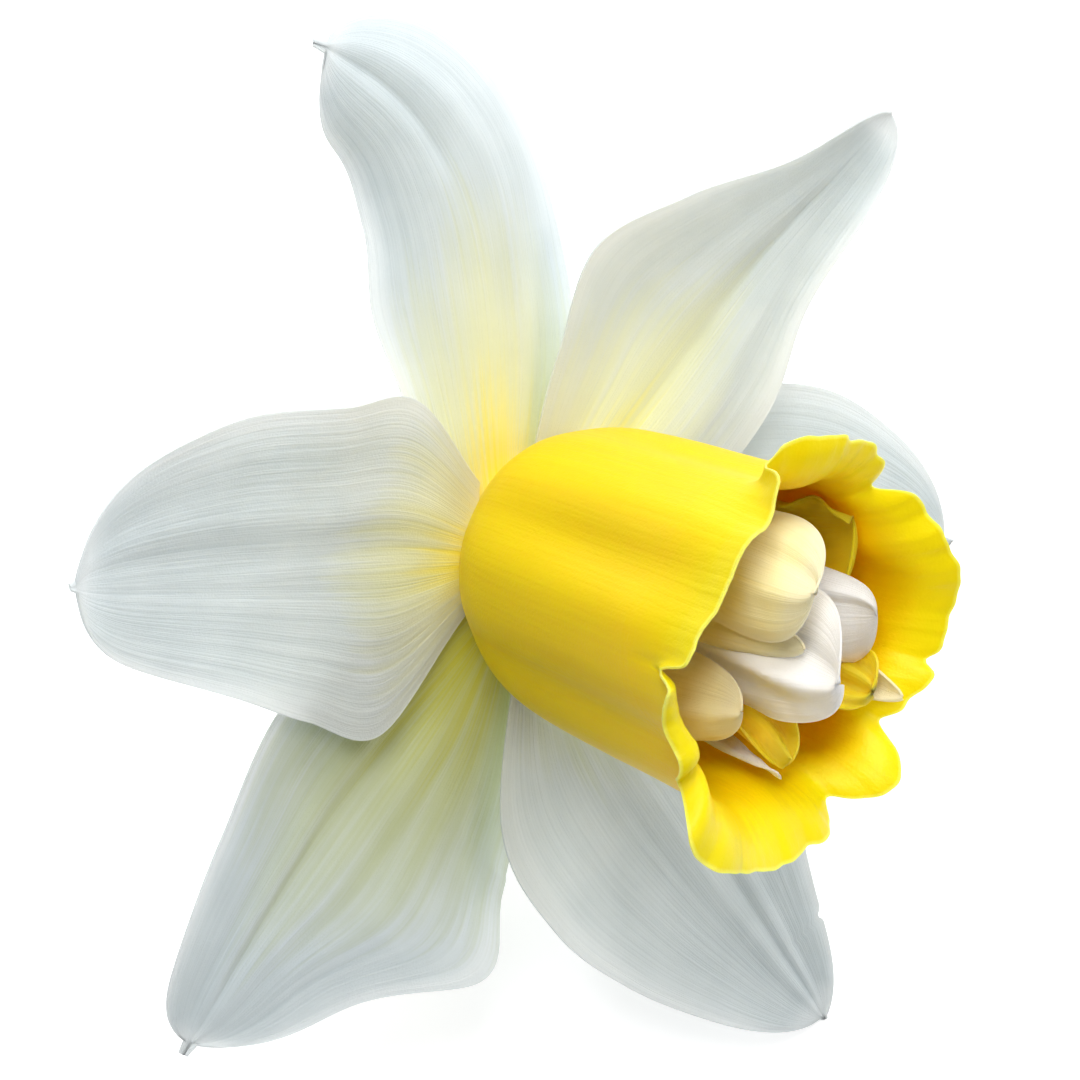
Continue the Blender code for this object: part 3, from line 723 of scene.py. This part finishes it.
CREAM_PETALOIDS = {
    "petaloid_cream_upper": petaloid(
        4.2, 145, 149, 42, swing=[-11, -2, 8, 20, 26], lean=[74, 76, 86, 96, 114],
        left=[0.8, 1.5, 3, 4.3, 5.1, 6.4], right=[0.8, 1.3, 3, 5.2, 6.6, 7],
        cup=[0, 20, 50, 50, 45], tip=(14, 0.4),
        folds=[(-0.2, -0.3, 0.16, 0.4, 0.4, 1.1), (0.3, 0.2, 0.2, -0.5, 0.4, 1.1)],
    ),
    "petaloid_cream_lower": petaloid(
        4.2, 240, 218, 36.5, swing=[15, 11, -8, -20, -20], lean=[75, 75, 83, 97, 122],
        half=[0.8, 1.2, 2.6, 4.3, 4.2, 4.6], cup=[0, 20, 50, 50, 45], tip=(12, 0.45),
        folds=[(0.3, 0.2, 0.2, -0.4, 0.4, 1.1)],
    ),
    "petaloid_cream_curl": petaloid(
        3, 169, 177, 40, swing=[7, 5, -1], lean=[78, 80, 91, 98, 134],
        half=[0.8, 0.8, 1.6, 2.1, 2.6, 2.3], cup=[0, 0, 40, 60], tip=(8, 0.5),
    ),
    "petaloid_cream_edge": petaloid(
        4.3, -3, 355, 38, swing=[5, 0, -4], lean=[74, 77, 81, 74, 69],
        half=[0.8, 0.6, 0.6, 2.6, 3.3, 1.9], cup=[0, 20, 60, 70], tip=(8, 0.5),
    ),
}
YELLOW_PETALOIDS = {
    "petaloid_yellow_cupped": petaloid(
        4.5, 73, 69, 34.5, swing=[0, -9, 3], lean=[70, 73, 78, 81, 77],
        left=[0.8, 0.6, 1.1, 0.9, 2.4, 3], right=[0.8, 0.6, 2.8, 5.1, 9.6, 9.8],
        cup_left=[0, 10, 10, 10], cup_right=[0, 20, 60, 100, 110], tip=(14, 0.4),
        frill=(0.7, 6.0, 0.2),
    ),
    "petaloid_yellow_right": petaloid(
        1.9, -1, 350, 37, swing=[-7, 8, -10], lean=[83, 77, 74, 76, 62],
        half=[0.8, 0.6, 0.6, 2.8, 3.7, 4.6], cup=[0, 20, 50, 50], tip=(16, 0.4),
        frill=(1.2, 5.0, 0.2),
        folds=[(0.3, 0.2, 0.2, 1.0, 0.5, 1.1), (-0.4, -0.4, 0.2, 0.8, 0.5, 1.1)],
    ),
    "petaloid_yellow_hook": petaloid(
        3, 295, 297, 36, swing=[-1, 5, 2], lean=[96, 82, 75, 81, 46],
        half=[0.8, 0.6, 0.6, 3.1, 3.7, 3.1], cup=[0, 10, 60, 70], tip=(14, 0.4),
        folds=[(0.0, 0.0, 0.3, 1.2, 0.5, 1.1)],
    ),
    "petaloid_yellow_upper": petaloid(
        3.5, 61, 66, 24, swing=[19, -8, 1], lean=[72, 76, 84, 89],
        half=[0.8, 0.6, 1.2, 0.9, 2.1, 2], cup=[0, 10, 30], tip=(8, 0.5),
    ),
    "petaloid_yellow_lower": petaloid(
        4.2, 332, 326, 27, swing=[0, 0, 2], lean=[74, 77, 84, 83],
        half=[0.8, 0.8, 1, 1.4, 1.7, 1.8], cup=[0, 10, 30], tip=(8, 0.5),
    ),
}
PETALOID_SKIN = {
    "Vein Height": 0.03, "Crinkle Height": 1.0, "Crinkle Size": 5.0,
    "Thickness": PETALOID_THICK, "Side": 0.0,
}

# The inner petals' colours below are set much paler than the tepals' WHITE: their white, cream and
# yellow hues are their own, but part of their paleness is painted light, standing for the light that
# shines through them inside the trumpet's mouth.
white_look = petal_finish(
    "white_petaloid_finish", (0.94, 0.96, 0.99), (0.89, 0.91, 0.94),
    (0.94, 0.86, 0.44), (0.94, 0.70, 0.02), 0.62, 0.1, 0.2, glow=0.7, wax=0.45)
cream_look = petal_finish(
    "cream_petaloid_finish", (0.97, 0.86, 0.55), (0.96, 0.79, 0.40),
    (0.96, 0.70, 0.10), (0.94, 0.58, 0.01), 0.85, 0.15, 0.25, glow=0.7, wax=0.45)
yellow_look = petal_finish(
    "yellow_petaloid_finish", (1.0, 0.64, 0.02), (1.0, 0.55, 0.007),
    (1.0, 0.50, 0.004), (0.98, 0.44, 0.002), 0.80, 0.1, 0.3, glow=1.0, wax=0.45)

for shapes, look, slot in (
    (WHITE_PETALOIDS, white_look, "petaloid_white"),
    (CREAM_PETALOIDS, cream_look, "petaloid_cream"),
    (YELLOW_PETALOIDS, yellow_look, "petaloid_yellow"),
):
    for node, shape in shapes.items():
        veins = {**PETALOID_SKIN, "Seed": shape["seed"]}
        piece = petal(node + "_petal", shape, PETALOID_ROWS, PETALOID_COLUMNS, veins, look)
        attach(piece, "root")
        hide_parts(node)


# ---- Stalk ----------------------------------------------------------------------------------
# Below the throat: the green floral tube, the swollen three-ribbed ovary and a short stub of the
# stalk, cut straight across. Solid, juicy tissue with a waxy skin and fine lines along it.

# (radius, height) down each body, on its outside. The floral tube opens in a cup at its top.
FLORAL_TUBE = [
    (4.8, -4.4), (5.3, -3.2), (6.4, -2.1), (7.4, -1.8), (7.5, -2.2), (6.6, -4.0),
    (5.4, -6.6), (4.5, -9.6), (3.9, -13.0), (3.5, -17.0),
]
OVARY = [
    (3.3, -16.8), (4.0, -18.2), (4.6, -20.6), (4.7, -23.0), (4.2, -25.6), (3.2, -27.6),
    (2.5, -28.8),
]
PEDICEL = [(2.35, -28.5), (2.3, -31.0), (2.25, -34.0), (2.35, -38.1)]
OVARY_SWELL = 0.07        # how far the ovary's three ribs stand out, as a share of radius
STALK_SEGMENTS, STALK_RINGS = 72, 60
STALK_LINES = 18          # fine lines along the skin, and how far they stand out, as a share
STALK_LINE_HEIGHT = 0.012
STALK_LENGTH = 38.0


def stalk_finish():
    """Waxy green skin with lengthwise lines, yellower towards the throat."""
    look = bpy.data.materials.new("stalk_finish")
    look.use_nodes = True
    tree = look.node_tree
    shader = tree.nodes["Principled BSDF"]
    shader.inputs["Roughness"].default_value = 0.42
    shader.inputs["Subsurface Weight"].default_value = 0.2
    shader.inputs["Subsurface Radius"].default_value = (0.6, 1.0, 0.3)
    shader.inputs["Subsurface Scale"].default_value = 0.0015
    blade = add_node(tree, "ShaderNodeAttribute", attribute_name="blade").outputs["Vector"]
    height = add_node(tree, "ShaderNodeSeparateXYZ", {0: blade}).outputs[2]
    wide = add_node(
        tree, "ShaderNodeVectorMath", {0: blade, 1: (9.0, 9.0, 1.5)}, operation="MULTIPLY")
    line = add_node(
        tree, "ShaderNodeTexNoise", {"Vector": wide.outputs[0], "Scale": 1.0, "Detail": 5.0}).outputs[0]
    skin = add_node(
        tree, "ShaderNodeMix",
        {"Factor": line, 6: (0.16, 0.30, 0.04, 1.0), 7: (0.34, 0.50, 0.12, 1.0)},
        data_type="RGBA").outputs[2]
    yellowing = calc(tree, "MULTIPLY_ADD", height, 1.4, 0.05, clamp=True)
    colour = add_node(
        tree, "ShaderNodeMix", {"Factor": yellowing, 6: (0.66, 0.66, 0.16, 1.0), 7: skin},
        data_type="RGBA").outputs[2]
    tree.links.new(colour, shader.inputs["Base Color"])
    bump = add_node(tree, "ShaderNodeBump", {"Height": line, "Strength": 0.5, "Distance": 0.0002})
    tree.links.new(bump.outputs[0], shader.inputs["Normal"])
    return look


def stalk_part(name, profile, swell, look):
    """A closed body turned from the profile's smooth curve, with flat ends."""
    knots = np.array(profile)
    place = np.linspace(0.0, 1.0, STALK_RINGS)
    radius = through(knots[:, 0], place)
    height = through(knots[:, 1], place)
    turn = np.arange(STALK_SEGMENTS) * 2 * math.pi / STALK_SEGMENTS
    standing = 1 + swell * np.cos(3 * turn) + STALK_LINE_HEIGHT * np.cos(STALK_LINES * turn)
    out = radius[:, None] * standing
    points = np.stack([out * np.cos(turn), out * np.sin(turn),
                       np.repeat(height[:, None], STALK_SEGMENTS, axis=1)], axis=-1).reshape(-1, 3)
    faces = grid_faces(STALK_RINGS, STALK_SEGMENTS, closed=True)[:, ::-1].tolist()
    faces.append(list(range(STALK_SEGMENTS)))
    faces.append(list(range((STALK_RINGS - 1) * STALK_SEGMENTS, STALK_RINGS * STALK_SEGMENTS))[::-1])
    mesh = bpy.data.meshes.new(name)
    mesh.from_pydata(points.tolist(), [], faces)
    mesh.shade_smooth()
    pattern = np.stack([np.tile(np.cos(turn), STALK_RINGS), np.tile(np.sin(turn), STALK_RINGS),
                        -points[:, 2] / STALK_LENGTH], axis=-1)
    mesh.attributes.new("blade", "FLOAT_VECTOR", "POINT").data.foreach_set(
        "vector", pattern.astype(np.float32).ravel())
    mesh.materials.append(look)
    mesh.transform(FLOWER_AXIS)
    piece = bpy.data.objects.new(name, mesh)
    bpy.context.scene.collection.objects.link(piece)
    return piece


stalk_look = stalk_finish()
for node, profile, swell in (
    ("floral_tube", FLORAL_TUBE, 0.0), ("ovary", OVARY, OVARY_SWELL), ("pedicel", PEDICEL, 0.0),
):
    piece = stalk_part(node + "_flesh", profile, swell, stalk_look)
    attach(piece, "root")
    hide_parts(node)


# ---- Table, lights and camera ---------------------------------------------------------------
# A plain pale light table. One big soft light stands beyond the flower's top, one is overhead
# and a weak one shines into the trumpet's mouth. The camera looks straight down.

# All in metres, but for the lens.
TABLE_SIDE = 6.0
CAMERA_HEIGHT = 0.4099
CAMERA_ASIDE = (-0.00055, 0.00022)
LENS_MM = 149.02

lowest, highest = (Vector(corner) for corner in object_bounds())
middle = (lowest + highest) / 2

bpy.ops.mesh.primitive_plane_add(size=TABLE_SIDE, location=(0.0, 0.0, 0.0))
table = bpy.context.object
table.name = "light_table"
table_look = bpy.data.materials.new("light_table_finish")
table_look.use_nodes = True
glow = table_look.node_tree.nodes["Principled BSDF"]
glow.inputs["Base Color"].default_value = (0.90, 0.90, 0.90, 1.0)
glow.inputs["Roughness"].default_value = 0.7
glow.inputs["Emission Color"].default_value = (1.0, 1.0, 1.0, 1.0)
glow.inputs["Emission Strength"].default_value = 0.60
table.data.materials.append(table_look)
table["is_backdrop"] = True


def soft_light(name, place, size, power):
    lamp = bpy.data.lights.new(name, "AREA")
    lamp.shape = "DISK"
    lamp.size = size
    lamp.energy = power
    made = bpy.data.objects.new(name, lamp)
    bpy.context.scene.collection.objects.link(made)
    made.location = place
    made.rotation_euler = (middle - Vector(place)).to_track_quat("-Z", "Y").to_euler()


soft_light("window_light", (0.10, 0.66, 0.48), 0.50, 4.6)
soft_light("overhead_light", (-0.08, 0.34, 0.88), 0.36, 4.1)
soft_light("mouth_light", (0.62, -0.02, 0.52), 0.40, 1.1)

world = bpy.data.worlds.new("studio")
world.use_nodes = True
world.node_tree.nodes["Background"].inputs["Color"].default_value = (1.0, 1.0, 1.0, 1.0)
world.node_tree.nodes["Background"].inputs["Strength"].default_value = 0.18
bpy.context.scene.world = world
bpy.context.scene.view_settings.view_transform = "Standard"

camera_data = bpy.data.cameras.new("camera")
camera_data.lens = LENS_MM
camera_data.sensor_width = 36.0
camera = bpy.data.objects.new("camera", camera_data)
bpy.context.scene.collection.objects.link(camera)
camera.location = (*CAMERA_ASIDE, CAMERA_HEIGHT)
camera.rotation_euler = (0.0, 0.0, 0.0)
bpy.context.scene.camera = camera
